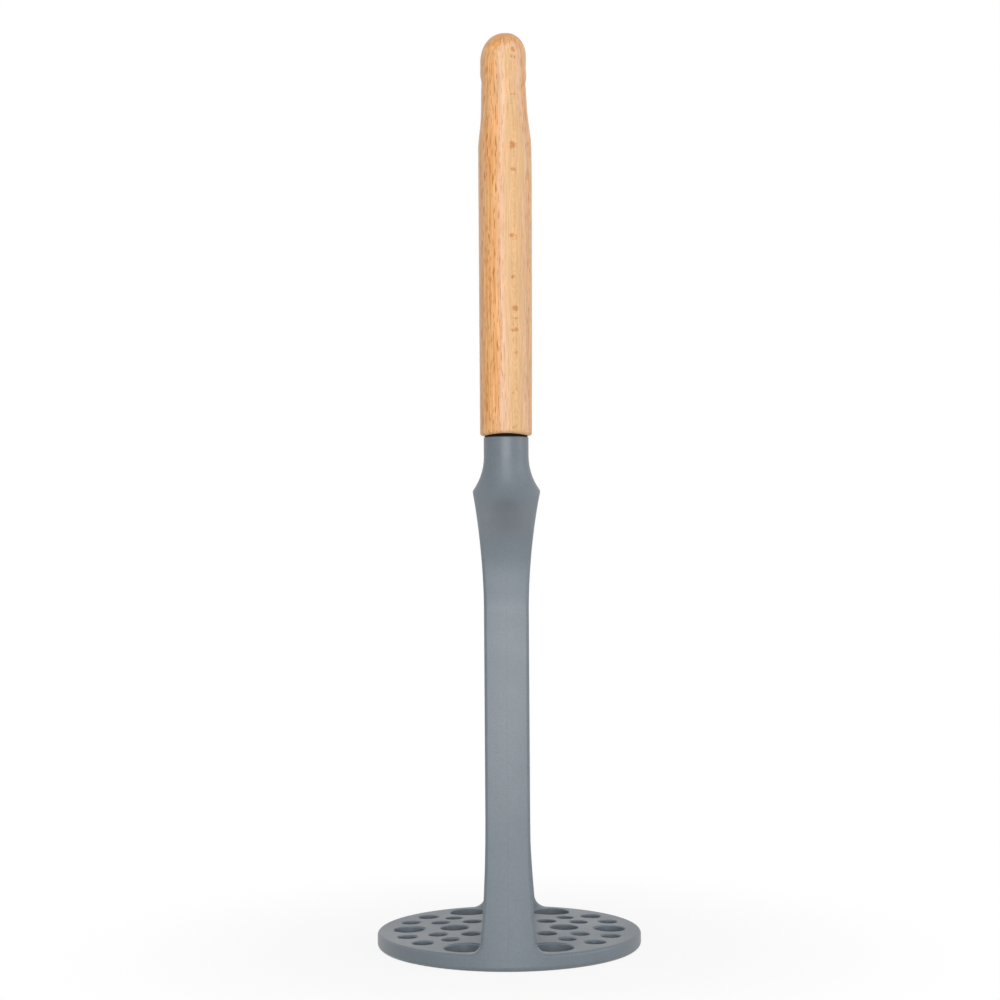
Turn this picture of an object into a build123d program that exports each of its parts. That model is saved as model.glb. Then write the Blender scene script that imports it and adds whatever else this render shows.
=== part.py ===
from build123d import *
from math import cos, radians, sin, sqrt
import os

# Potato masher: an oval beech handle, a thin rubber ring, and a nylon head whose stirrup ends in
# a perforated disc. A steel tang joins head and handle.
# Millimetres. +Z is up, the origin is the middle of the underside of the disc. The arms stand at
# -Y and +Y, and +X is the broad front of the tool.

# Disc
disc_radius = 43.0
disc_thickness = 5.15
disc_dome = 0.8
disc_dome_margin = 0.4
disc_bottom_edge = 1.6
hole_edge = 0.35
hole_edge_angle = 90

# Holes in the disc, as shares of its radius: distance from the middle along X and along Y, and
# radius. Each one repeats on the other side of both axes.
hole_shares = [
    (0.000, 0.000, 0.107),
    (0.416, 0.000, 0.107),
    (0.760, 0.000, 0.119),
    (0.000, 0.326, 0.088),
    (0.284, 0.242, 0.074),
    (0.533, 0.233, 0.070),
    (0.760, 0.281, 0.072),
    (0.433, 0.421, 0.066),
    (0.635, 0.509, 0.078),
    (0.000, 0.591, 0.074),
    (0.321, 0.698, 0.151),
]

# Arms of the stirrup. The rounding of their outer edges runs on round the top of the rim.
arm_width = 13.8
arm_thickness = 4.6
arm_inner_edge = 0.8
arm_outer_edge = 1.1
root_radius = 4.1
foot_flare_start = 47.0
foot_flare_radius = 450.0

# Crown of the stirrup: round shoulders on the arms, then a straight slope up to the neck. The arch
# below it has a slope of its own under the same angle, and a short flat top under the neck.
spring_height = 110.4
shoulder_radius = 30.28
crown_slope_angle = 32
crown_thickness = 7.0
crown_side_radius = 175.0
arch_flat_half_width = 8.4
arch_flat_blend = 9.0

# Neck
neck_radius = 7.35
neck_straight_length = 6.35
neck_edge = 0.35
neck_flare_radius = 18.7

# Rubber ring
ring_radius = 7.0
ring_thickness = 1.125
ring_edge = 0.2
ring_clearance = 0.15

# Tang
tang_radius = 3.0
tang_in_neck = 21.5
tang_in_handle = 42.0
tang_end_chamfer = 0.6
groove_depth = 0.4
groove_width = 2.0
groove_pitch = 5.0
grooves_in_neck = 3
grooves_in_handle = 6
glue_gap = 0.1
bore_end_gap = 1.5

# Handle. Half its thickness is measured back and front of the tool's axis, because the front is
# a little fuller; half its width is the same on both sides. Its underside is a low arch from side
# to side, with a shallow round seat for the ring.
handle_length = 131.875
handle_half_thickness = 8.8
handle_half_width = 12.0
handle_bottom_edge = 1.1
bottom_arch_rise = 1.0
ring_seat_depth = 0.1
ring_seat_clearance = 0.1
hanging_hole_radius = 2.25
hanging_hole_drop = 16.0
hanging_hole_edge = 0.3

# Rounded end of the handle: how far below the tip it starts on the faces and on the edges, how
# full it is, and how far its tip leans to the front
end_round_face_depth = 9.0
end_round_edge_depth = 12.0
end_round_power = 2.25
end_lean = 0.6

# Waist below the rounded end: its length, and even stations up the grip and up the waist, as shares
# of the half thickness (back, front) and of the half width
waist_length = 30.8
grip_shares = [
    (0.968, 0.964, 0.830),
    (0.970, 0.986, 0.942),
    (0.972, 1.006, 1.008),
    (0.974, 1.018, 1.000),
]
waist_shares = [
    (0.974, 1.018, 1.000),
    (0.973, 1.016, 0.992),
    (0.957, 0.998, 0.980),
    (0.907, 0.945, 0.966),
    (0.868, 0.891, 0.953),
    (0.856, 0.852, 0.943),
    (0.849, 0.826, 0.936),
    (0.855, 0.827, 0.932),
    (0.880, 0.827, 0.930),
]
# Stations of the rounded end, as shares of its height
end_height_shares = [0.0, 0.20, 0.38, 0.54, 0.68, 0.80, 0.89, 0.95, 0.985, 0.998]

# One overrun for every cut
overrun = 5.0

# Sizes that follow
arm_half_width = arm_width / 2
inner_reach = disc_radius - arm_thickness
dome_reach = inner_reach - root_radius - disc_dome_margin
dome_radius = (dome_reach ** 2 + disc_dome ** 2) / (2 * disc_dome)
dome_top = disc_thickness + disc_dome
slope_sine = sin(radians(crown_slope_angle))
slope_cosine = cos(radians(crown_slope_angle))
slope_foot_reach = disc_radius - shoulder_radius * (1 - slope_sine)
slope_foot_height = spring_height + shoulder_radius * slope_cosine
slope_axis_height = slope_foot_height + slope_foot_reach * slope_sine / slope_cosine
flare_end_reach = neck_radius + neck_flare_radius * (1 - slope_sine)
flare_end_height = slope_axis_height - flare_end_reach * slope_sine / slope_cosine
neck_flare_start = flare_end_height + neck_flare_radius * slope_cosine
neck_top = neck_flare_start + neck_straight_length
arch_axis_height = slope_axis_height - crown_thickness / slope_cosine
arch_inner_top = arch_axis_height - arch_flat_half_width * slope_sine / slope_cosine
arch_corner_height = arch_axis_height - inner_reach * slope_sine / slope_cosine
ring_seat_height = neck_top + ring_thickness
bottom_arch_radius = (handle_half_thickness ** 2 + bottom_arch_rise ** 2) / (2 * bottom_arch_rise)
bottom_arch_top = ring_seat_height - ring_seat_depth
handle_bottom = bottom_arch_top - bottom_arch_rise
handle_top = handle_bottom + handle_length
tang_bottom = neck_top - tang_in_neck
tang_top = ring_seat_height + tang_in_handle
bore_depth = tang_in_handle + bore_end_gap


def arc_offset(radius, run):
    """How far an arc of that radius leaves its tangent after that run."""
    return radius - sqrt(radius ** 2 - run ** 2)


def top_height(reach):
    """Height of the disc's top that far from the axis."""
    return max(disc_thickness, dome_top - arc_offset(dome_radius, reach))


def end_round(drop, depth):
    """Share of the full size left that far below the tip of an end rounded over that depth."""
    rise_share = max(0, 1 - drop / depth)
    return (1 - rise_share ** end_round_power) ** (1 / end_round_power)


os.makedirs("parts", exist_ok=True)

# Steel tang with ring grooves, one end in the neck and the other in the handle
with BuildPart() as tang:
    with BuildSketch(Plane.XY.offset(tang_bottom)):
        Circle(tang_radius)
    extrude(amount=tang_top - tang_bottom)
    chamfer(tang.edges().filter_by(GeomType.CIRCLE), length=tang_end_chamfer)
    neck_grooves = [neck_top - groove_pitch * (i + 1) for i in range(grooves_in_neck)]
    handle_grooves = [ring_seat_height + groove_pitch * (i + 1) for i in range(grooves_in_handle)]
    for height in neck_grooves + handle_grooves:
        with BuildSketch(Plane.XY.offset(height)):
            Circle(tang_radius)
            Circle(tang_radius - groove_depth, mode=Mode.SUBTRACT)
        extrude(amount=groove_width, mode=Mode.SUBTRACT)
tang.part.label = "tang"
export_step(tang.part, "parts/tang.step")

# Nylon head: one body of revolution, trimmed by its side view, opened by the stirrup's arch, and
# moulded round the tang
with BuildPart() as masher_head:
    with BuildSketch(Plane.YZ):
        with BuildLine():
            Polyline((0, neck_top), (0, 0), (disc_radius, 0), (disc_radius, spring_height))
            TangentArc(
                (disc_radius, spring_height), (slope_foot_reach, slope_foot_height), tangent=(0, 1)
            )
            Line((slope_foot_reach, slope_foot_height), (flare_end_reach, flare_end_height))
            TangentArc(
                (neck_radius, neck_flare_start), (flare_end_reach, flare_end_height), tangent=(0, -1)
            )
            Polyline((neck_radius, neck_flare_start), (neck_radius, neck_top), (0, neck_top))
        make_face()
    revolve(axis=Axis.Z)

    # Side view: the arms, wider at the foot and at the crown, on the full disc
    with BuildSketch(Plane.XZ):
        foot_run = foot_flare_start - disc_thickness
        foot_half_width = arm_half_width + arc_offset(foot_flare_radius, foot_run)
        crown_run = neck_top + overrun - spring_height
        crown_half_width = arm_half_width + arc_offset(crown_side_radius, crown_run)
        with BuildLine():
            Polyline(
                (0, -overrun),
                (disc_radius + overrun, -overrun),
                (disc_radius + overrun, disc_thickness),
                (foot_half_width, disc_thickness),
            )
            TangentArc(
                (arm_half_width, foot_flare_start), (foot_half_width, disc_thickness), tangent=(0, -1)
            )
            Line((arm_half_width, foot_flare_start), (arm_half_width, spring_height))
            TangentArc(
                (arm_half_width, spring_height), (crown_half_width, neck_top + overrun), tangent=(0, 1)
            )
            Polyline((crown_half_width, neck_top + overrun), (0, neck_top + overrun), (0, -overrun))
        make_face()
        mirror(about=Plane.YZ)
    extrude(amount=disc_radius + overrun, both=True, mode=Mode.INTERSECT)

    # Opening of the stirrup
    with BuildSketch(Plane.YZ) as opening:
        with BuildLine():
            Polyline(
                (0, disc_thickness),
                (inner_reach, disc_thickness),
                (inner_reach, arch_corner_height),
                (arch_flat_half_width, arch_inner_top),
                (0, arch_inner_top),
                (0, disc_thickness),
            )
        make_face()
        mirror(about=Plane.YZ)
        fillet(opening.vertices().group_by(Axis.Y)[1], radius=shoulder_radius - arm_thickness)
        fillet(opening.vertices().group_by(Axis.Y)[-1], radius=arch_flat_blend)
    extrude(amount=disc_radius + overrun, both=True, mode=Mode.SUBTRACT)

    # Rounded edges. Each is picked on one stretch and runs on from there along its tangents: the
    # opening's edges, the feet of the arms, the outer edges with the rim's top, the rim's underside
    # and the neck.
    arch_edges = masher_head.edges().filter_by(Axis.Y).group_by(Axis.Z)[-1]
    fillet(arch_edges, radius=arm_inner_edge)
    foot_edges = masher_head.edges().filter_by(Axis.X).group_by(Axis.Z)[0]
    fillet(foot_edges, radius=root_radius)
    outer_edges = masher_head.edges().filter_by(Axis.Z).sort_by(Axis.Y)[:2]
    fillet(outer_edges, radius=arm_outer_edge)
    rim = masher_head.edges().filter_by(GeomType.CIRCLE).group_by(Axis.Z)[0]
    fillet(rim, radius=disc_bottom_edge)
    neck_end = masher_head.edges().filter_by(GeomType.CIRCLE).group_by(Axis.Z)[-1]
    fillet(neck_end, radius=neck_edge)

    # Low dome on top of the disc
    with BuildSketch(Plane.XZ):
        with BuildLine():
            RadiusArc((0, dome_top), (dome_reach, disc_thickness), dome_radius)
            Polyline((dome_reach, disc_thickness), (dome_reach, 0), (0, 0), (0, dome_top))
        make_face()
    revolve(axis=Axis.Z)

    # Holes, with their edges broken above and below
    for x_share, y_share, radius_share in hole_shares:
        hole_radius = disc_radius * radius_share
        for x in {disc_radius * x_share, -disc_radius * x_share}:
            for y in {disc_radius * y_share, -disc_radius * y_share}:
                height = top_height(sqrt(x ** 2 + y ** 2))
                with Locations((x, y, height)):
                    CounterSinkHole(
                        radius=hole_radius,
                        counter_sink_radius=hole_radius + hole_edge,
                        depth=height,
                        counter_sink_angle=hole_edge_angle,
                    )
    underside = masher_head.faces().sort_by(Axis.Z)[0]
    chamfer(underside.inner_wires().edges(), length=hole_edge)
    add(tang.part, mode=Mode.SUBTRACT)
masher_head.part.label = "masher_head"
export_step(masher_head.part, "parts/masher_head.step")

# Rubber ring between the neck and the handle
with BuildPart() as spacer_ring:
    with BuildSketch(Plane.XY.offset(neck_top)):
        Circle(ring_radius)
        Circle(tang_radius + ring_clearance, mode=Mode.SUBTRACT)
    extrude(amount=ring_thickness)
    ring_rims = spacer_ring.edges().filter_by(GeomType.CIRCLE).sort_by(SortBy.RADIUS)[-2:]
    fillet(ring_rims, radius=ring_edge)
spacer_ring.part.label = "spacer_ring"
export_step(spacer_ring.part, "parts/spacer_ring.step")

# Beech handle: oval all the way up, narrower below the rounded end, with a blind bore for the tang
with BuildPart() as handle:
    waist_top = handle_top - end_round_edge_depth
    waist_bottom = waist_top - waist_length
    lengths = [(handle_bottom, waist_bottom, grip_shares), (waist_bottom, waist_top, waist_shares)]
    for bottom, top, shares in lengths:
        for i, (back_share, front_share, width_share) in enumerate(shares):
            back = handle_half_thickness * back_share
            front = handle_half_thickness * front_share
            half_width = handle_half_width * width_share
            with BuildSketch(Plane.XY.offset(bottom + (top - bottom) * i / (len(shares) - 1))):
                with Locations(((front - back) / 2, 0)):
                    Ellipse((front + back) / 2, half_width)
        loft()
    for height_share in end_height_shares:
        drop = end_round_edge_depth * (1 - height_share)
        face_share = end_round(drop, end_round_face_depth)
        edge_share = end_round(drop, end_round_edge_depth)
        lean = end_lean * max(0, 1 - drop / end_round_face_depth)
        with BuildSketch(Plane.XY.offset(handle_top - drop)):
            with Locations(((front - back) / 2 * face_share + lean, 0)):
                Ellipse((front + back) / 2 * face_share, half_width * edge_share)
    loft()

    # Underside, hollowed in a low arch from side to side, with a round seat for the ring
    with BuildSketch(Plane.XZ):
        with Locations((0, bottom_arch_top - bottom_arch_radius)):
            Circle(bottom_arch_radius)
    extrude(amount=handle_half_width + overrun, both=True, mode=Mode.SUBTRACT)
    arch_face = handle.faces().filter_by(GeomType.CYLINDER)
    fillet(arch_face.edges(), radius=handle_bottom_edge)
    with BuildSketch(Plane.XY.offset(ring_seat_height)):
        Circle(ring_radius + ring_seat_clearance)
    extrude(amount=-overrun, mode=Mode.SUBTRACT)
    with BuildSketch(Plane.XY.offset(ring_seat_height)):
        Circle(tang_radius + glue_gap)
    extrude(amount=bore_depth, mode=Mode.SUBTRACT)

    # Hole to hang it by
    hole_height = handle_top - hanging_hole_drop
    with BuildSketch(Plane.YZ):
        with Locations((0, hole_height)):
            Circle(hanging_hole_radius)
    extrude(amount=handle_half_thickness + overrun, both=True, mode=Mode.SUBTRACT)
    hole_edges = handle.edges().filter_by_position(
        Axis.Z, hole_height - hanging_hole_radius, hole_height + hanging_hole_radius
    )
    hole_rims = hole_edges.sort_by(Axis.X)
    fillet([hole_rims[0], hole_rims[-1]], radius=hanging_hole_edge)
handle.part.label = "handle"
export_step(handle.part, "parts/handle.step")
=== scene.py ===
# Potato masher: an oval beech handle, a rubber ring, a steel tang and a grey nylon head
import math

import bmesh
import bpy
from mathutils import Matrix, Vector


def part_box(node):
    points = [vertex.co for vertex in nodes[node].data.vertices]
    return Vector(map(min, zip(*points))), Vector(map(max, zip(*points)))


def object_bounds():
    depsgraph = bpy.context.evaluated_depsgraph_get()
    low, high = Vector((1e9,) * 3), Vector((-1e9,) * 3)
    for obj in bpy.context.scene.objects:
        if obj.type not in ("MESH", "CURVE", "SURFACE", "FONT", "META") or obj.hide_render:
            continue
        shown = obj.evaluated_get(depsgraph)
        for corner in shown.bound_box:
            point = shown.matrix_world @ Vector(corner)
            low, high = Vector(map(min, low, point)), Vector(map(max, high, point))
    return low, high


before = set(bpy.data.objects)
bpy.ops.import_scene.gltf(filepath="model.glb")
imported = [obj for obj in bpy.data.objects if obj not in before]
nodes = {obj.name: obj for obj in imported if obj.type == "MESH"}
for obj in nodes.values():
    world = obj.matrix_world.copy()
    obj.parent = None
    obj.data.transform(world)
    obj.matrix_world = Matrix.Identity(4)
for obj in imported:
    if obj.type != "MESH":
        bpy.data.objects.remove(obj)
scene = bpy.context.scene
cad_low, cad_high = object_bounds()


# Camera: level, with a long lens at the height of the stirrup, looking at the narrow edge of the
# masher, which leans a little to the left in the picture. The shift frames it as photographed.
picture_width = 1000
sensor_width = 36.0
focal_length_pixels = 2056
eye_distance = 0.673
eye_height = 0.13545
eye_turn = math.radians(0.34)
eye_roll = math.radians(0.37)
axis_column = 506.7
horizon_row = 531

camera = bpy.data.objects.new("camera", bpy.data.cameras.new("camera"))
scene.collection.objects.link(camera)
camera.location = (
    eye_distance * math.sin(eye_turn),
    -eye_distance * math.cos(eye_turn),
    eye_height,
)
camera.rotation_euler = (math.pi / 2, eye_roll, eye_turn)
camera.data.sensor_width = sensor_width
camera.data.lens = sensor_width * focal_length_pixels / picture_width
camera.data.shift_x = (picture_width / 2 - axis_column) / picture_width
camera.data.shift_y = (horizon_row - picture_width / 2) / picture_width
scene.camera = camera
scene.view_settings.view_transform = "Standard"


# Studio: a white sweep lit by a low and a high soft box behind the camera and a weaker one on the
# right. What the camera and the gloss see of the room is plain white.
def linear(hex_colour):
    """The linear colour of an sRGB hex value."""
    shares = [int(hex_colour[i:i + 2], 16) / 255 for i in (1, 3, 5)]
    return [s / 12.92 if s <= 0.04045 else ((s + 0.055) / 1.055) ** 2.4 for s in shares] + [1]


def add_node(tree, kind, settings=None, links=None):
    """Adds a node with its settings. Links give an input a value, or the output that feeds it."""
    node = tree.nodes.new(kind)
    for name, value in (settings or {}).items():
        setattr(node, name, value)
    for name, value in (links or {}).items():
        if isinstance(value, bpy.types.NodeSocket):
            tree.links.new(value, node.inputs[name])
        else:
            node.inputs[name].default_value = value
    return node


def new_material(name):
    """A material and its empty node tree."""
    material = bpy.data.materials.new(name)
    material.use_nodes = True
    material.node_tree.nodes.clear()
    return material, material.node_tree


def sees_white(tree):
    """1 for a ray from the camera, off gloss or through glass, and 0 for the light on the object."""
    path = add_node(tree, "ShaderNodeLightPath")
    seen = add_node(tree, "ShaderNodeMath", {"operation": "ADD", "use_clamp": True}, {
        0: path.outputs["Is Camera Ray"], 1: path.outputs["Is Glossy Ray"]})
    seen = add_node(tree, "ShaderNodeMath", {"operation": "ADD", "use_clamp": True}, {
        0: seen.outputs[0], 1: path.outputs["Is Transmission Ray"]})
    return seen.outputs[0]


room_light = 0.40
room_white = 1.0
room = bpy.data.worlds.new("white_room")
room.use_nodes = True
tree = room.node_tree
tree.nodes.clear()
strength = add_node(tree, "ShaderNodeMapRange", {}, {
    "Value": sees_white(tree), "To Min": room_light, "To Max": room_white})
background = add_node(tree, "ShaderNodeBackground", {}, {
    "Color": linear("#FFFFFF"), "Strength": strength.outputs[0]})
add_node(tree, "ShaderNodeOutputWorld", {}, {"Surface": background.outputs[0]})
scene.world = room

masher_middle = Vector((0, 0, (cad_low.z + cad_high.z) / 2))


def soft_box(name, azimuth, height, distance, width, tall, radiance):
    """A rectangular lamp that looks at the middle of the masher, with the radiance of its face."""
    lamp = bpy.data.lights.new(name, "AREA")
    lamp.shape = "RECTANGLE"
    lamp.size = width
    lamp.size_y = tall
    lamp.energy = radiance * math.pi * width * tall
    box = bpy.data.objects.new(name, lamp)
    turn = math.radians(azimuth)
    box.location = (distance * math.sin(turn), -distance * math.cos(turn), height)
    aim = masher_middle - box.location
    box.rotation_euler = aim.to_track_quat("-Z", "Y").to_euler()
    box.visible_camera = False
    scene.collection.objects.link(box)


soft_box("low_front_box", azimuth=0, height=0.10, distance=1.15, width=0.8, tall=0.35, radiance=8.5)
soft_box("high_front_box", azimuth=0, height=0.85, distance=1.0, width=0.8, tall=0.65, radiance=2.8)
soft_box("right_box", azimuth=80, height=0.35, distance=1.0, width=0.6, tall=0.8, radiance=1.3)

floor_reach = 6.0
sheet = bmesh.new()
bmesh.ops.create_grid(sheet, x_segments=1, y_segments=1, size=floor_reach)
floor = bpy.data.objects.new("floor", bpy.data.meshes.new("floor"))
sheet.to_mesh(floor.data)
sheet.free()
scene.collection.objects.link(floor)

shadow_share = 0.12
shadow_reach = 0.16
material, tree = new_material("white_paper_sweep")
# Seamless white paper: the camera and the gloss see it as white as the room, and only the paper
# round the disc, out to shadow_reach, keeps a share of its own shading and with it the shadow
spot = add_node(tree, "ShaderNodeTexCoord").outputs["Object"]
off_centre = add_node(tree, "ShaderNodeVectorMath", {"operation": "LENGTH"}, {0: spot})
glow_share = add_node(tree, "ShaderNodeMapRange", {"interpolation_type": "SMOOTHSTEP"}, {
    "Value": off_centre.outputs["Value"], "From Min": cad_high.x, "From Max": shadow_reach,
    "To Min": 1 - shadow_share})
glow_share = add_node(tree, "ShaderNodeMath", {"operation": "MULTIPLY"}, {
    0: glow_share.outputs[0], 1: sees_white(tree)})
paper = add_node(tree, "ShaderNodeBsdfDiffuse", {}, {"Color": linear("#E4E4E4")})
glow = add_node(tree, "ShaderNodeEmission", {}, {"Color": linear("#FFFFFF"), "Strength": room_white})
blend = add_node(tree, "ShaderNodeMixShader", {}, {
    0: glow_share.outputs[0], 1: paper.outputs[0], 2: glow.outputs[0]})
add_node(tree, "ShaderNodeOutputMaterial", {}, {"Surface": blend.outputs[0]})
floor.data.materials.append(material)


# Head: neck, stirrup and perforated disc are one injection moulding of glass-filled nylon, cast
# round the tang. The halves of the mould met in the plane of the arms and left a fine line there.
millimetre = 0.001

# Sockets of a Mix node that blends two colours
colour_a = 6
colour_b = 7
blended = 2


def place_in_millimetres(tree):
    """The place on the object in millimetres, which patterns are drawn by."""
    place = add_node(tree, "ShaderNodeTexCoord").outputs["Object"]
    return add_node(tree, "ShaderNodeVectorMath", {"operation": "SCALE"}, {
        0: place, "Scale": 1 / millimetre}).outputs[0]


def coat(name, material):
    """Gives a node of the CAD model its one material."""
    nodes[name].data.materials.clear()
    nodes[name].data.materials.append(material)


cloud_size = 9.0
flow_size = 26.0
grain_size = 0.6
grain_contrast = 0.06
grain_depth = 0.03
line_width = 0.3
line_strength = 0.5
line_strength_above = 0.15
line_fades_from = 100.0
line_fades_to = 140.0

material, tree = new_material("moulded_glass_filled_nylon")
# Glass-filled nylon from a sandblasted mould: a satin sheen over a fine even grain, faintly cloudy
# where the melt flowed, with a witness line that is fainter on the neck. The grain and the line
# are drawn coarser than they are, so that they show
place = place_in_millimetres(tree)
axes = add_node(tree, "ShaderNodeSeparateXYZ", {}, {0: place})
cloud = add_node(tree, "ShaderNodeTexNoise", {}, {
    "Vector": place, "Scale": 1 / cloud_size, "Detail": 3.0, "Roughness": 0.6})
flow = add_node(tree, "ShaderNodeTexNoise", {}, {
    "Vector": place, "Scale": 1 / flow_size, "Detail": 1.0, "Distortion": 0.6})
colour = add_node(tree, "ShaderNodeMix", {"data_type": "RGBA"}, {
    "Factor": cloud.outputs["Fac"], colour_a: linear("#636C74"), colour_b: linear("#6B747C")})
line = add_node(tree, "ShaderNodeMath", {"operation": "COMPARE"}, {
    0: axes.outputs["X"], 1: 0.0, 2: line_width / 2})
line_share = add_node(tree, "ShaderNodeMapRange", {}, {
    "Value": axes.outputs["Z"], "From Min": line_fades_from, "From Max": line_fades_to,
    "To Min": line_strength, "To Max": line_strength_above})
line_share = add_node(tree, "ShaderNodeMath", {"operation": "MULTIPLY"}, {
    0: line.outputs[0], 1: line_share.outputs[0]})
colour = add_node(tree, "ShaderNodeMix", {"data_type": "RGBA"}, {
    "Factor": line_share.outputs[0], colour_a: colour.outputs[blended], colour_b: linear("#5F6870")})
grain = add_node(tree, "ShaderNodeTexNoise", {}, {
    "Vector": place, "Scale": 1 / grain_size, "Detail": 2.0, "Roughness": 0.5})
speckle = add_node(tree, "ShaderNodeMapRange", {}, {
    "Value": grain.outputs["Fac"], "From Min": 0.3, "From Max": 0.7,
    "To Min": 1 - grain_contrast, "To Max": 1 + grain_contrast})
colour = add_node(tree, "ShaderNodeVectorMath", {"operation": "SCALE"}, {
    0: colour.outputs[blended], "Scale": speckle.outputs[0]})
bump = add_node(tree, "ShaderNodeBump", {}, {
    "Strength": 0.9, "Distance": grain_depth * millimetre, "Height": grain.outputs["Fac"]})
satin = add_node(tree, "ShaderNodeMapRange", {}, {
    "Value": flow.outputs["Fac"], "From Min": 0.3, "From Max": 0.7, "To Min": 0.36, "To Max": 0.44})
skin = add_node(tree, "ShaderNodeBsdfPrincipled", {}, {
    "Base Color": colour.outputs[0], "Roughness": satin.outputs[0], "IOR": 1.53,
    "Normal": bump.outputs[0]})
add_node(tree, "ShaderNodeOutputMaterial", {}, {"Surface": skin.outputs[0]})
coat("masher_head", material)


# Tang: a steel rod turned on a lathe with ring grooves, cast into the neck and glued into the
# handle. It is hidden in the finished masher.
turning_pitch = 0.25
turning_depth = 0.01
film_size = 9.0

material, tree = new_material("turned_mild_steel")
# Bright mild steel as it leaves the lathe: fine rings from the tool, a little grey with oil. The
# wave texture repeats every pi / (10 * Scale), which sets the pitch of the rings
place = place_in_millimetres(tree)
rings = add_node(tree, "ShaderNodeTexWave", {"bands_direction": "Z", "wave_profile": "SAW"}, {
    "Vector": place, "Scale": math.pi / (10 * turning_pitch), "Distortion": 0.4})
bump = add_node(tree, "ShaderNodeBump", {}, {
    "Strength": 0.5, "Distance": turning_depth * millimetre, "Height": rings.outputs["Fac"]})
film = add_node(tree, "ShaderNodeTexNoise", {}, {"Vector": place, "Scale": 1 / film_size})
colour = add_node(tree, "ShaderNodeMix", {"data_type": "RGBA"}, {
    "Factor": film.outputs["Fac"], colour_a: linear("#8E8D89"), colour_b: linear("#A8A7A3")})
skin = add_node(tree, "ShaderNodeBsdfPrincipled", {}, {
    "Base Color": colour.outputs[blended], "Metallic": 1.0, "Roughness": 0.34,
    "Normal": bump.outputs[0]})
add_node(tree, "ShaderNodeOutputMaterial", {}, {"Surface": skin.outputs[0]})
coat("tang", material)


# Ring: black nitrile rubber, cut from tube and squeezed between the neck and the handle, so that
# the wood doesn't stand on the moulding.
warm_patch_size = 1.5
warm_patch_depth = 0.03

material, tree = new_material("black_rubber_and_painted_gap_shade")
# Nitrile rubber, matt, nearly black and a little patchy; its warm brown is painted shade of the gap
# between the wood and the neck
place = place_in_millimetres(tree)
warm_patches = add_node(tree, "ShaderNodeTexNoise", {}, {
    "Vector": place, "Scale": 1 / warm_patch_size, "Detail": 2.0})
# The near black is the rubber's own colour, and the brown in it is painted shade of the gap
colour = add_node(tree, "ShaderNodeMix", {"data_type": "RGBA"}, {
    "Factor": warm_patches.outputs["Fac"], colour_a: linear("#170D07"), colour_b: linear("#22140B")})
bump = add_node(tree, "ShaderNodeBump", {}, {
    "Strength": 0.3, "Distance": warm_patch_depth * millimetre, "Height": warm_patches.outputs["Fac"]})
skin = add_node(tree, "ShaderNodeBsdfPrincipled", {}, {
    "Base Color": colour.outputs[blended], "Roughness": 0.85, "IOR": 1.52,
    "Specular IOR Level": 0.15, "Normal": bump.outputs[0]})
add_node(tree, "ShaderNodeOutputMaterial", {}, {"Surface": skin.outputs[0]})
coat("spacer_ring", material)


# Handle: one piece of beech, shaped oval on a copying lathe, sanded fine and rubbed with oil. It
# was sawn so that the growth rings lie flat under the front and stand on edge to the left of it.
# Its sizes are in millimetres. A drop is measured down from the tip, and a depth into the wood.
handle_low, handle_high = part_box("handle")
handle_tip = handle_high.z / millimetre
handle_height = (handle_high.z - handle_low.z) / millimetre
mean_radius = (handle_high.x + handle_high.y) / 2 / millimetre


def noise_along_grain(width, length, detail=2.0, roughness=0.5):
    """Noise at the wood's place, in patches about so many millimetres wide and long."""
    stretched = add_node(tree, "ShaderNodeVectorMath", {"operation": "MULTIPLY"}, {
        0: place, 1: (1 / width, 1 / width, 1 / length)})
    noise = add_node(tree, "ShaderNodeTexNoise", {}, {
        "Vector": stretched.outputs[0], "Scale": 1.0, "Detail": detail, "Roughness": roughness})
    return noise.outputs["Fac"]


material, tree = new_material("oiled_beech")
# Steamed beech under a rubbed oil finish: warm and silky, pale where the rings lie flat, with a
# painted highlight down the front as well, more orange and full of short dark flecks where the ends
# of the rays come out of the wood
place = place_in_millimetres(tree)
axes = add_node(tree, "ShaderNodeSeparateXYZ", {}, {0: place})
drop = add_node(tree, "ShaderNodeMath", {"operation": "SUBTRACT"}, {
    0: handle_tip, 1: axes.outputs["Z"]}).outputs[0]

# Depth below the growth ring that the front of the grip just touches: the trunk was slightly bowed
# and swayed along its length, and its rings are wide arcs
ring_normal = (0.485, -0.875, 0.0)
ring_side = (-ring_normal[1], ring_normal[0], 0.0)
front_level = 11.4
belly_drop = 61.0
bow_radius = 1282.0
log_radius = 60.0
sway = 1.2
sway_width = 93.3
sway_length = 14.0
outward = add_node(tree, "ShaderNodeVectorMath", {"operation": "DOT_PRODUCT"}, {
    0: place, 1: ring_normal})
sideways = add_node(tree, "ShaderNodeVectorMath", {"operation": "DOT_PRODUCT"}, {
    0: place, 1: ring_side}).outputs["Value"]
from_belly = add_node(tree, "ShaderNodeMath", {"operation": "SUBTRACT"}, {
    0: drop, 1: belly_drop}).outputs[0]
bow = add_node(tree, "ShaderNodeMath", {"operation": "MULTIPLY"}, {0: from_belly, 1: from_belly})
level = add_node(tree, "ShaderNodeMath", {"operation": "MULTIPLY_ADD"}, {
    0: bow.outputs[0], 1: 1 / (2 * bow_radius), 2: outward.outputs["Value"]})
arc = add_node(tree, "ShaderNodeMath", {"operation": "MULTIPLY"}, {0: sideways, 1: sideways})
level = add_node(tree, "ShaderNodeMath", {"operation": "MULTIPLY_ADD"}, {
    0: arc.outputs[0], 1: 1 / (2 * log_radius), 2: level.outputs[0]})
level = add_node(tree, "ShaderNodeMath", {"operation": "MULTIPLY_ADD"}, {
    0: noise_along_grain(sway_width, sway_length), 1: sway, 2: level.outputs[0]})
depth = add_node(tree, "ShaderNodeMath", {"operation": "SUBTRACT"}, {
    0: front_level + sway / 2, 1: level.outputs[0]}).outputs[0]

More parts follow.
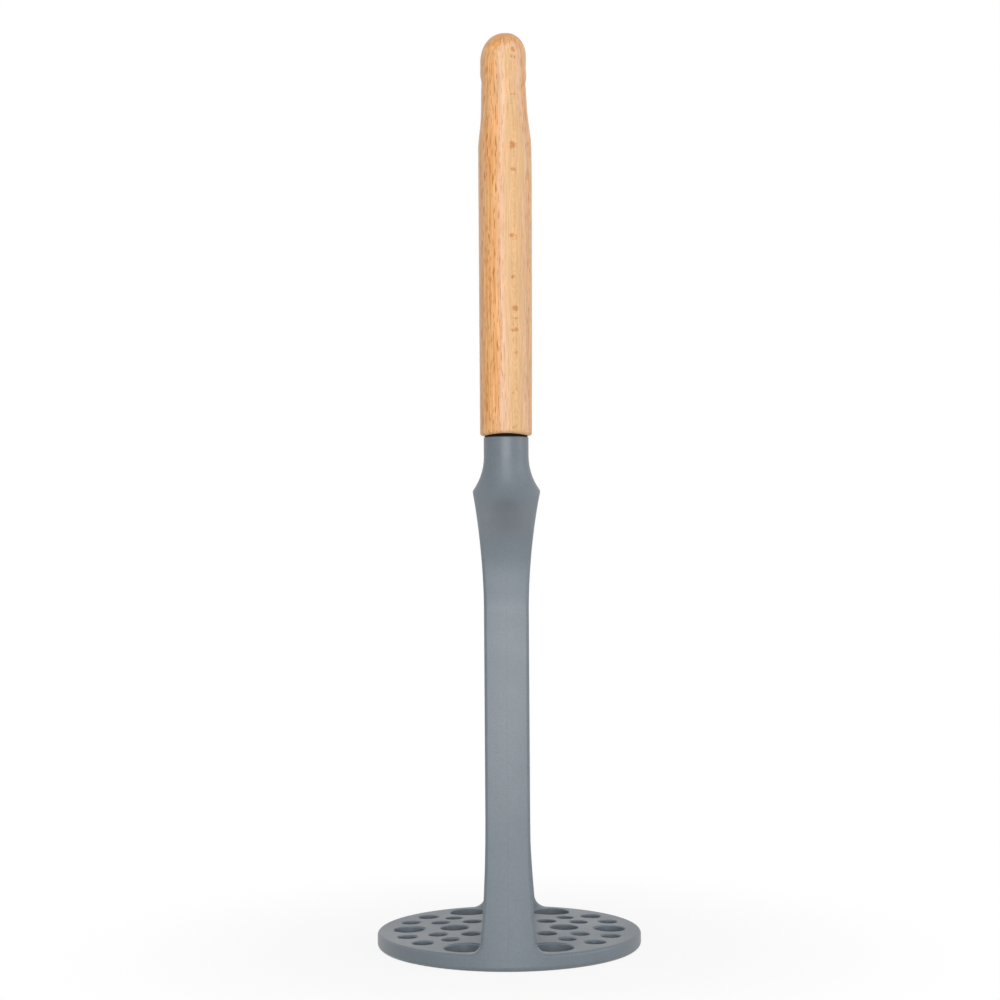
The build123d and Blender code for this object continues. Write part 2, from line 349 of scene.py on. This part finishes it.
# Tone of the wood by depth, with a ragged border between one tone and the next
border_rag = 1.6
border_width = 2.0
border_length = 20.0
border_middle = border_rag / 2
tone_reach = 24.0
# The pale pink stops up to a depth of 1.7 are partly wood where the ring lies flat and partly a
# painted highlight down the front
tones_with_painted_highlight = (
    (0.0, "#D3A878"), (0.5, "#D6AC7E"), (1.0, "#DDB492"), (1.7, "#DAAC81"), (2.5, "#E7B178"),
    (7.5, "#E6AE72"), (10.0, "#DEA974"), (13.0, "#DDAD7E"), (17.0, "#D9A46C"), (21.0, "#DCAA78"),
)
ragged_depth = add_node(tree, "ShaderNodeMath", {"operation": "MULTIPLY_ADD"}, {
    0: noise_along_grain(border_width, border_length, detail=3.0, roughness=0.6),
    1: border_rag, 2: depth}).outputs[0]
tone_share = add_node(tree, "ShaderNodeMapRange", {}, {
    "Value": ragged_depth, "From Min": border_middle, "From Max": border_middle + tone_reach})
tone = add_node(tree, "ShaderNodeValToRGB", {}, {0: tone_share.outputs[0]})
stops = tone.color_ramp.elements
stops.remove(stops[1])
for tone_depth, hex_colour in tones_with_painted_highlight:
    stop = stops.new(tone_depth / tone_reach) if tone_depth else stops[0]
    stop.color = linear(hex_colour)

# Fibres: long fine streaks along the grain, drawn a little coarser than real beech fibres
fibre_width = 0.5
fibre_length = 13.0
fibre_depth = 0.03
fibres = noise_along_grain(fibre_width, fibre_length, detail=4.0, roughness=0.65)
fibre_light = add_node(tree, "ShaderNodeMapRange", {}, {
    "Value": fibres, "From Min": 0.36, "From Max": 0.64, "To Min": 0.92, "To Max": 1.16})

# Darker streaks, wider and longer, where the rings stand more on edge
streak_width = 1.0
streak_length = 24.0
streak_strength = 0.7
streaks_from = 0.2
streaks_full = 2.8
streaks = noise_along_grain(streak_width, streak_length, roughness=0.6)
streaks = add_node(tree, "ShaderNodeMapRange", {}, {
    "Value": streaks, "From Min": 0.46, "From Max": 0.62, "To Max": streak_strength})
on_edge = add_node(tree, "ShaderNodeMapRange", {}, {
    "Value": ragged_depth, "From Min": border_middle + streaks_from,
    "From Max": border_middle + streaks_full})
streak_share = add_node(tree, "ShaderNodeMath", {"operation": "MULTIPLY"}, {
    0: streaks.outputs[0], 1: on_edge.outputs[0]})
tone = add_node(tree, "ShaderNodeMix", {"data_type": "RGBA"}, {
    "Factor": streak_share.outputs[0], colour_a: tone.outputs["Color"], colour_b: linear("#D28A45")})

# Contours: the faint nested ovals of the flat-lying ring
contour_step = 0.15
contour_contrast = 0.045
contours_full = 0.3
contours_end = 0.9
ripple = 1.6
ripple_width = 46.7
ripple_length = 7.0
contours = add_node(tree, "ShaderNodeMath", {"operation": "MULTIPLY_ADD"}, {
    0: noise_along_grain(ripple_width, ripple_length, detail=1.0), 1: ripple, 2: depth})
contours = add_node(tree, "ShaderNodeMath", {"operation": "MULTIPLY"}, {
    0: contours.outputs[0], 1: 2 * math.pi / contour_step})
contours = add_node(tree, "ShaderNodeMath", {"operation": "SINE"}, {0: contours.outputs[0]})
flatness = add_node(tree, "ShaderNodeMapRange", {}, {
    "Value": depth, "From Min": contours_full, "From Max": contours_end,
    "To Min": contour_contrast, "To Max": 0.0})
light = add_node(tree, "ShaderNodeMath", {"operation": "MULTIPLY_ADD"}, {
    0: contours.outputs[0], 1: flatness.outputs[0], 2: fibre_light.outputs[0]})
wood = add_node(tree, "ShaderNodeVectorMath", {"operation": "SCALE"}, {
    0: tone.outputs[blended], "Scale": light.outputs[0]}).outputs[0]

# Rays: bundles of cells that run out to the bark and end on the surface as short upright dashes,
# drawn a little coarser than they are and placed by the way round the oval and the drop. The two
# sizes have each their spacing round the handle, their spacing along it and their strength.
ray_sizes = ((0.58, 6.4, 0.95), (0.44, 3.8, 0.85))
rayless_share = 0.4
ray_radius_share = 0.36
ray_edge_share = 0.1
rays_from = -0.4
rays_full = 2.2
lean_width = 5.0
lean_length = 10.0
to_circle = add_node(tree, "ShaderNodeVectorMath", {"operation": "DIVIDE"}, {
    0: place, 1: (handle_high.x / millimetre, -handle_high.y / millimetre, 1.0)})
to_circle = add_node(tree, "ShaderNodeSeparateXYZ", {}, {0: to_circle.outputs[0]})
turn = add_node(tree, "ShaderNodeMath", {"operation": "ARCTAN2"}, {
    0: to_circle.outputs["X"], 1: to_circle.outputs["Y"]})
way_round = add_node(tree, "ShaderNodeMath", {"operation": "MULTIPLY_ADD"}, {
    0: turn.outputs[0], 1: mean_radius, 2: noise_along_grain(lean_width, lean_length)})
ray_place = add_node(tree, "ShaderNodeCombineXYZ", {}, {"X": way_round.outputs[0], "Y": drop})
ray_show = add_node(tree, "ShaderNodeMapRange", {}, {
    "Value": ragged_depth, "From Min": border_middle + rays_from,
    "From Max": border_middle + rays_full})
for spacing_round, spacing_along, ray_strength in ray_sizes:
    cell = add_node(tree, "ShaderNodeVectorMath", {"operation": "MULTIPLY"}, {
        0: ray_place.outputs[0], 1: (1 / spacing_round, 1 / spacing_along, 0.0)})
    rays = add_node(tree, "ShaderNodeTexVoronoi", {"voronoi_dimensions": "2D"}, {
        "Vector": cell.outputs[0], "Scale": 1.0})
    chance = add_node(tree, "ShaderNodeSeparateColor", {}, {0: rays.outputs["Color"]})
    radius = add_node(tree, "ShaderNodeMapRange", {}, {
        "Value": chance.outputs[0], "From Min": rayless_share, "To Max": ray_radius_share})
    inside = add_node(tree, "ShaderNodeMath", {"operation": "SUBTRACT"}, {
        0: radius.outputs[0], 1: rays.outputs["Distance"]})
    inside = add_node(tree, "ShaderNodeMapRange", {}, {
        "Value": inside.outputs[0], "From Max": ray_edge_share, "To Max": ray_strength})
    ray_share = add_node(tree, "ShaderNodeMath", {"operation": "MULTIPLY"}, {
        0: inside.outputs[0], 1: ray_show.outputs[0]})
    wood = add_node(tree, "ShaderNodeMix", {"data_type": "RGBA"}, {
        "Factor": ray_share.outputs[0], colour_a: wood, colour_b: linear("#B0621C")}).outputs[blended]

# Brown marks in a line down the front, where a darker ring just comes to the surface: each one's
# drop, its half height and how far the ring rises there
marks = (
    (7.0, 1.0, 0.17), (9.7, 0.9, 0.15), (21.7, 0.9, 0.15), (27.0, 0.6, 0.14), (38.4, 1.9, 0.22),
    (46.4, 1.0, 0.17), (67.5, 1.3, 0.18), (81.1, 0.9, 0.17), (90.9, 1.6, 0.22), (94.0, 0.8, 0.15),
    (98.0, 1.0, 0.18), (105.0, 0.6, 0.13), (118.2, 0.5, 0.13), (129.2, 0.5, 0.13),
)
marks_aside = 3.0
mark_half_width = 1.5
mark_rag_size = 1.42857
mark_edge = 0.7
mark_strength = 0.85
drop_share = add_node(tree, "ShaderNodeMath", {"operation": "DIVIDE"}, {0: drop, 1: handle_height})
risen = add_node(tree, "ShaderNodeFloatCurve", {}, {"Value": drop_share.outputs[0]})
points = risen.mapping.curves[0].points
# A new curve climbs from 0 to 1, so its end comes down to 0 before the marks are set on it
points[1].location = (1.0, 0.0)
highest = max(rise for _, _, rise in marks)
for middle, half_height, rise in marks:
    for offset, share in ((-half_height, 0.0), (0.0, rise / highest), (half_height, 0.0)):
        points.new((middle + offset) / handle_height, share)
risen.mapping.update()
off_middle = add_node(tree, "ShaderNodeMath", {"operation": "SUBTRACT"}, {
    0: axes.outputs["X"], 1: marks_aside})
off_middle = add_node(tree, "ShaderNodeMath", {"operation": "DIVIDE"}, {
    0: off_middle.outputs[0], 1: mark_half_width})
off_middle = add_node(tree, "ShaderNodeMath", {"operation": "MULTIPLY"}, {
    0: off_middle.outputs[0], 1: off_middle.outputs[0]})
mark_level = add_node(tree, "ShaderNodeMath", {"operation": "SUBTRACT"}, {
    0: risen.outputs[0], 1: off_middle.outputs[0]})
rag = add_node(tree, "ShaderNodeTexNoise", {}, {
    "Vector": place, "Scale": 1 / mark_rag_size, "Detail": 1.0})
rag = add_node(tree, "ShaderNodeMapRange", {}, {
    "Value": rag.outputs["Fac"], "From Min": 0.3, "From Max": 0.7, "To Min": -0.65, "To Max": 0.5})
mark_level = add_node(tree, "ShaderNodeMath", {"operation": "ADD"}, {
    0: mark_level.outputs[0], 1: rag.outputs[0]})

# A mark is a little paler along its middle, where the ring is sanded through
paler_share = 0.2
paler = add_node(tree, "ShaderNodeMapRange", {"interpolation_type": "SMOOTHSTEP"}, {
    "Value": off_middle.outputs[0], "From Max": paler_share, "To Min": paler_share, "To Max": 0.0})
mark_level = add_node(tree, "ShaderNodeMath", {"operation": "SUBTRACT"}, {
    0: mark_level.outputs[0], 1: paler.outputs[0]})
mark_share = add_node(tree, "ShaderNodeMapRange", {"interpolation_type": "SMOOTHSTEP"}, {
    "Value": mark_level.outputs[0], "From Max": mark_edge, "To Max": mark_strength})
pores = add_node(tree, "ShaderNodeMapRange", {}, {
    "Value": fibres, "From Min": 0.4, "From Max": 0.6, "To Min": 1.0, "To Max": 0.7})
mark_share = add_node(tree, "ShaderNodeMath", {"operation": "MULTIPLY"}, {
    0: mark_share.outputs[0], 1: pores.outputs[0]})
on_front = add_node(tree, "ShaderNodeMath", {"operation": "LESS_THAN"}, {
    0: axes.outputs["Y"], 1: 0.0})
mark_share = add_node(tree, "ShaderNodeMath", {"operation": "MULTIPLY"}, {
    0: mark_share.outputs[0], 1: on_front.outputs[0]})
wood = add_node(tree, "ShaderNodeMix", {"data_type": "RGBA"}, {
    "Factor": mark_share.outputs[0], colour_a: wood, colour_b: linear("#BA6E28")}).outputs[blended]

# The end grain of the tip drinks more oil and is darker and warmer
tip_reach = 7.0
tip_strength = 0.75
tip_share = add_node(tree, "ShaderNodeMapRange", {"interpolation_type": "SMOOTHSTEP"}, {
    "Value": drop, "From Max": tip_reach, "To Min": tip_strength, "To Max": 0.0})
wood = add_node(tree, "ShaderNodeMix", {"data_type": "RGBA"}, {
    "Factor": tip_share.outputs[0], colour_a: wood, colour_b: linear("#C98848")}).outputs[blended]

# The sheen stands for the light that scatters in the oiled fibres at the edges of the handle
bump = add_node(tree, "ShaderNodeBump", {}, {
    "Strength": 0.35, "Distance": fibre_depth * millimetre, "Height": fibres})
silk = add_node(tree, "ShaderNodeMapRange", {}, {"Value": fibres, "To Min": 0.42, "To Max": 0.58})
skin = add_node(tree, "ShaderNodeBsdfPrincipled", {}, {
    "Base Color": wood, "Roughness": silk.outputs[0], "IOR": 1.5, "Sheen Weight": 0.5,
    "Sheen Roughness": 0.3, "Sheen Tint": linear("#FFF1E4"), "Normal": bump.outputs[0]})
add_node(tree, "ShaderNodeOutputMaterial", {}, {"Surface": skin.outputs[0]})
coat("handle", material)
